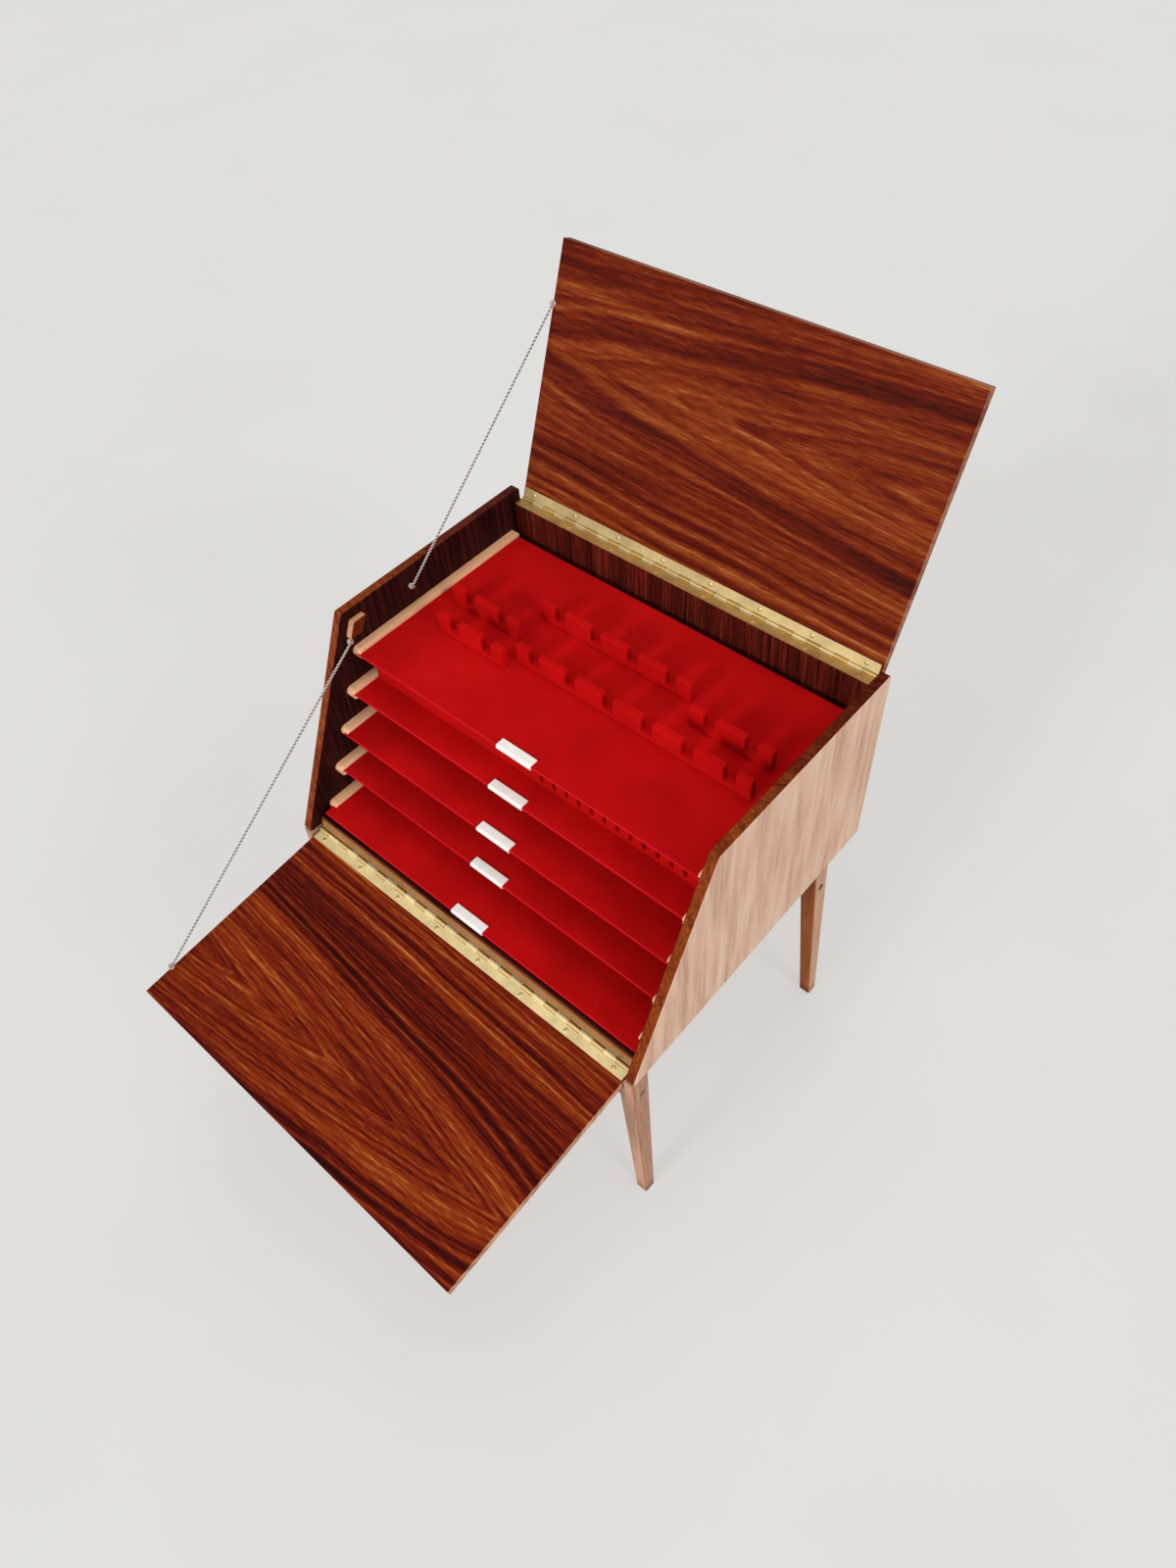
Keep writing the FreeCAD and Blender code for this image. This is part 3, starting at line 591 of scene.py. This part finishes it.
def slottedHead(look):
    head = bpy.data.objects.new("screwHead", domedHead(look))
    bpy.context.scene.collection.objects.link(head)
    form = bmesh.new()
    bmesh.ops.create_cube(form, size=1.0)
    bmesh.ops.scale(form, verts=form.verts,
                    vec=(4 * look["headRadius"], look["slotWidth"], 2 * look["slotDepth"]))
    bmesh.ops.translate(form, verts=form.verts, vec=(0, 0, look["domeHeight"]))
    slot = bpy.data.objects.new("screwSlot", finishForm(form, "screwSlot"))
    bpy.context.scene.collection.objects.link(slot)
    cutting = head.modifiers.new("slot", "BOOLEAN")
    cutting.operation = "DIFFERENCE"
    cutting.object = slot
    cutMesh = plainMesh(head)
    head.modifiers.clear()
    head.data = cutMesh
    bpy.data.objects.remove(slot)
    return head


def screwRowTree(look):
    tree = bpy.data.node_groups.new("screwRow", "GeometryNodeTree")
    kinds = {"Count": "NodeSocketInt", "Start": "NodeSocketVector", "Step": "NodeSocketVector",
             "Turn": "NodeSocketVector", "Seed": "NodeSocketInt", "Head": "NodeSocketObject",
             "Finish": "NodeSocketMaterial"}
    sockets = {}
    for label, kind in kinds.items():
        sockets[label] = tree.interface.new_socket(label, in_out="INPUT", socket_type=kind).identifier
    tree.interface.new_socket("Screws", in_out="OUTPUT", socket_type="NodeSocketGeometry")
    wire = Wire(tree)
    given = wire.node("NodeGroupInput")
    line = wire.node("GeometryNodeMeshLine", {"mode": "OFFSET"},
                     {"Count": given.other("Count"), "Start Location": given.other("Start"),
                      "Offset": given.other("Step")})
    head = wire.node("GeometryNodeObjectInfo", None, {"Object": given.other("Head")}, "Geometry")
    spin = wire.node("FunctionNodeRandomValue", {"data_type": "FLOAT"},
                     {2: 0.0, 3: look["spin"], "Seed": given.other("Seed")}, 1)
    lean = wire.node("ShaderNodeCombineXYZ", None, {2: spin})
    placed = wire.node("GeometryNodeInstanceOnPoints", None,
                       {"Points": line, "Instance": head, "Rotation": given.other("Turn")})
    spun = wire.node("GeometryNodeRotateInstances", None, {"Instances": placed, "Rotation": lean})
    solid = wire.node("GeometryNodeRealizeInstances", None, {0: spun})
    dressed = wire.node("GeometryNodeSetMaterial", None,
                        {"Geometry": solid, "Material": given.other("Finish")})
    result = tree.nodes.new("NodeGroupOutput")
    tree.links.new(dressed.socket, result.inputs[0])
    return tree, sockets


def hingePoint(axis, angle, out, rise):
    return axis + Vector((0, out * math.cos(angle) - rise * math.sin(angle),
                          out * math.sin(angle) + rise * math.cos(angle)))


screwHead = slottedHead(screwLook)
rowTree, rowSockets = screwRowTree(screwLook)
step = 2 * screwLook["halfRow"] / (screwLook["count"] - 1)
screwRows = {   # hinge axis, the leaf's angle, the heads' side of it, the heads' lean, finish
    "lid_hinge_moving_screws": (lidAxis, lidAngle, -1, lidAngle, brightBrass),
    "lid_hinge_fixed_screws": (lidAxis, math.pi, 1, 0.0, darkerBrass),
    "flap_hinge_moving_screws": (flapAxis, flapAngle, 1, flapAngle - math.pi, screwBrass),
    "flap_hinge_fixed_screws": (flapAxis, slopeAngle, -1, slopeAngle, dullBrass),
}
for node, (axis, angle, side, lean, finish) in screwRows.items():
    start = hingePoint(axis, angle, screwLook["line"], side * screwLook["seat"])
    start.x -= screwLook["halfRow"]
    carrier = bpy.data.objects.new(node + "Carrier", bpy.data.meshes.new(node + "Carrier"))
    bpy.context.scene.collection.objects.link(carrier)
    row = carrier.modifiers.new("row", "NODES")
    row.node_group = rowTree
    settings = {"Count": screwLook["count"], "Start": start, "Step": (step, 0, 0), "Turn": (lean, 0, 0),
                "Seed": screwLook["seed"], "Head": screwHead, "Finish": finish}
    for label, value in settings.items():
        row[rowSockets[label]] = value
    mesh = plainMesh(carrier)
    bpy.data.objects.remove(carrier)
    heads = addPiece(node + "Slotted", mesh, finish)
    mesh.shade_smooth()
    mesh.set_sharp_from_angle(angle=screwLook["sharpAngle"])
    standFor(heads, node)
bpy.data.objects.remove(screwHead)
print("hinge screws set in", len(screwRows), "rows")

cordLook = {
    "diameter": 0.0022, "strands": 2, "strandRadius": 0.00070, "layRadius": 0.00074, "layLength": 0.0084,
    "sides": 8, "stepsPerLay": 12, "straightRun": 6, "endGap": 0.0026,
    "standOff": 0.2345, "sidePanel": 0.239, "lift": 0.00125, "sunk": 0.002, "postHeight": 0.0065,
    "knotTurns": 3.4, "knotRadius": 0.0027, "knotStrand": 0.0006, "knotSteps": 64,
    "knotStart": 0.3, "knotRise": 0.42, "knotCrown": 0.6,
}
caseCorner = Vector((0, -0.13284, 0.266))   # front bottom corner of the side panels
cordEnds = {   # the post on the side panel from that corner, and the one on the panel from its hinge
    "lid": {"post": (0.218, 0.2275), "reach": 0.213, "axis": lidAxis, "angle": lidAngle, "inner": 1.0},
    "flap": {"post": (0.1255, 0.2145), "reach": 0.222, "axis": flapAxis, "angle": flapAngle, "inner": -1.0},
}


def routePoints(name, points):
    route = bpy.data.curves.new(name, "CURVE")
    route.dimensions = "3D"
    spline = route.splines.new("NURBS")
    spline.points.add(len(points) - 1)
    for held, point in zip(spline.points, points):
        held.co = (*point, 1.0)
    spline.order_u = 3
    spline.use_endpoint_u = True
    spline.resolution_u = 16
    holder = bpy.data.objects.new(name, route)
    bpy.context.scene.collection.objects.link(holder)
    found = [vertex.co.copy() for vertex in plainMesh(holder).vertices]
    bpy.data.objects.remove(holder)
    return found


def addTube(form, centres, radius, look, middles=None):
    # crown is 1 on the outside of a strand and 0 where it meets its neighbour
    crown = form.verts.layers.float.get("crown") or form.verts.layers.float.new("crown")
    sides = look["sides"]
    offLine = Vector((1, 0.013, 0.007))   # no strand runs exactly this way
    rings = []
    for index, centre in enumerate(centres):
        ahead = centres[min(index + 1, len(centres) - 1)] - centres[max(index - 1, 0)]
        ahead.normalize()
        side = ahead.cross(offLine).normalized()
        lift = ahead.cross(side)
        ring = []
        for turn in range(sides):
            angle = 2 * math.pi * turn / sides
            arm = math.cos(angle) * side + math.sin(angle) * lift
            vertex = form.verts.new(centre + radius * arm)
            outward = arm.dot((centre - middles[index]).normalized()) if middles else look["knotCrown"]
            vertex[crown] = 0.5 + 0.5 * outward
            ring.append(vertex)
        rings.append(ring)
    for near, far in zip(rings, rings[1:]):
        for turn in range(sides):
            following = (turn + 1) % sides
            form.faces.new((near[turn], near[following], far[following], far[turn]))
    form.faces.new(list(reversed(rings[0])))
    form.faces.new(rings[-1])


def finishTubes(form, name, finish):
    bmesh.ops.recalc_face_normals(form, faces=form.faces)
    mesh = finishForm(form, name)
    mesh.shade_smooth()
    return addPiece(name, mesh, finish)


def twistedCord(name, points, look):
    form = bmesh.new()
    lengths = [0.0]
    for near, far in zip(points, points[1:]):
        lengths.append(lengths[-1] + (far - near).length)
    total = lengths[-1]
    count = int(total / look["layLength"] * look["stepsPerLay"])
    run = (points[-1] - points[0]).normalized()
    side = run.cross(Vector((1, 0, 0))).normalized()
    lift = run.cross(side)
    for strand in range(look["strands"]):
        centres = []
        middles = []
        part = 0
        for index in range(count + 1):
            reached = total * index / count
            while part < len(lengths) - 2 and lengths[part + 1] < reached:
                part += 1
            share = (reached - lengths[part]) / (lengths[part + 1] - lengths[part])
            centre = points[part].lerp(points[part + 1], share)
            turn = 2 * math.pi * (reached / look["layLength"] + strand / look["strands"])
            centres.append(centre + look["layRadius"] * (math.cos(turn) * side + math.sin(turn) * lift))
            middles.append(centre)
        addTube(form, centres, look["strandRadius"], look, middles)
    return finishTubes(form, name, cordYarn), total


def tiedEnd(name, foot, axis, look):
    # the cord's end is wound round its post and pulled tight
    form = bmesh.new()
    askew = Vector((0.3, 0.5, 0.8))   # off the line of every post
    side = axis.cross(askew).normalized()
    lift = axis.cross(side)
    count = look["knotSteps"]
    centres = []
    for index in range(count + 1):
        turn = 2 * math.pi * look["knotTurns"] * index / count
        rise = look["postHeight"] * (look["knotStart"] + look["knotRise"] * index / count)
        arm = math.cos(turn) * side + math.sin(turn) * lift
        centres.append(foot + axis * rise + look["knotRadius"] * arm)
    addTube(form, centres, look["knotStrand"], look)
    return finishTubes(form, name, cordYarn)


for name, ends in cordEnds.items():
    axis, angle, inner = ends["axis"], ends["angle"], ends["inner"]
    aside = Vector((cordLook["standOff"], 0, 0))
    start = Vector((-cordLook["standOff"], *ends["post"])) + caseCorner
    end = hingePoint(axis, angle, ends["reach"], inner * cordLook["lift"]) - aside
    run = (end - start).normalized()
    first = start + run * cordLook["endGap"]
    last = end - run * cordLook["endGap"]
    straight = run * cordLook["straightRun"] * cordLook["diameter"]
    points = routePoints(name + "Route", [first, first + straight, last - straight, last])
    cord, length = twistedCord(name + "CordTwist", points, cordLook)
    sideFoot = Vector((-cordLook["sidePanel"], start.y, start.z))
    nearKnot = tiedEnd(name + "CordNearKnot", sideFoot, Vector((1, 0, 0)), cordLook)
    panelFoot = hingePoint(axis, angle, ends["reach"], -inner * cordLook["sunk"]) - aside
    panelNormal = inner * Vector((0, -math.sin(angle), math.cos(angle)))
    farKnot = tiedEnd(name + "CordFarKnot", panelFoot, panelNormal, cordLook)
    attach(nearKnot, "carcass")
    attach(farKnot, name)
    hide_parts(name + "_cord")
    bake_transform(cord)
print("cords twisted and tied")

floorLook = {"halfSize": 9.0, "drop": 0.0005, "cloudScale": 2.5, "rough": 0.75, "glow": 0.45,
             "stops": [(0.3, linear(142, 142, 141)), (0.7, linear(147, 147, 146))]}
roomWhite = (1.0, 0.995, 0.985, 1.0)
roomStrength = 0.6
form = bmesh.new()
bmesh.ops.create_grid(form, x_segments=1, y_segments=1, size=floorLook["halfSize"])
floorMesh = finishForm(form, "paleFloor")
floorFinish, wire, shader = startFinish("paleFloor")
cloud = speckle(wire, spots(wire), floorLook["cloudScale"], detail=3.0, rough=0.5)
# a little glow of its own stands in for the light that a white room throws back
feed(wire, shader, Base_Color=ramp(wire, floorLook["stops"], cloud), Roughness=floorLook["rough"],
     Emission_Color=roomWhite, Emission_Strength=floorLook["glow"])
floor = addPiece("paleFloor", floorMesh, floorFinish)
floor.location.z = -floorLook["drop"]

world = bpy.data.worlds.new("studio")
bpy.context.scene.world = world
world.use_nodes = True
world.node_tree.nodes["Background"].inputs["Color"].default_value = roomWhite
world.node_tree.nodes["Background"].inputs["Strength"].default_value = roomStrength

lampLooks = {
    "frontWindow": {"place": (-1.5, -22.0, 9.6), "target": (0, 0, 0.4), "size": (6.4, 5.4), "power": 2600},
    "rightWindow": {"place": (18.0, -2.0, 7.6), "target": (0, 0, 0.4), "size": (7.0, 6.0), "power": 1300},
    "ceilingBox": {"place": (0, 3.0, 16.0), "target": (0, 1.0, 0.4), "size": (10.0, 10.0), "power": 300},
}
for name, look in lampLooks.items():
    lamp = bpy.data.lights.new(name, "AREA")
    lamp.shape = "RECTANGLE"
    lamp.size, lamp.size_y = look["size"]
    lamp.energy = look["power"]
    holder = bpy.data.objects.new(name, lamp)
    holder.location = look["place"]
    aim = Vector(look["target"]) - Vector(look["place"])
    holder.rotation_euler = aim.to_track_quat("-Z", "Y").to_euler()
    bpy.context.scene.collection.objects.link(holder)

cameraLook = {"place": (0.54741, -0.4447, 1.27321), "turn": (0.677091, 0.060484, 0.719369),
              "lens": 25.076, "sensor": 36.0, "clipStart": 0.01}
camera = bpy.data.objects.new("photoView", bpy.data.cameras.new("photoView"))
camera.location = cameraLook["place"]
camera.rotation_euler = cameraLook["turn"]
camera.data.lens = cameraLook["lens"]
camera.data.sensor_width = cameraLook["sensor"]
camera.data.sensor_fit = "AUTO"
camera.data.clip_start = cameraLook["clipStart"]
bpy.context.scene.collection.objects.link(camera)
bpy.context.scene.camera = camera
bpy.context.scene.view_settings.view_transform = "Standard"
print("floor, light and camera set")
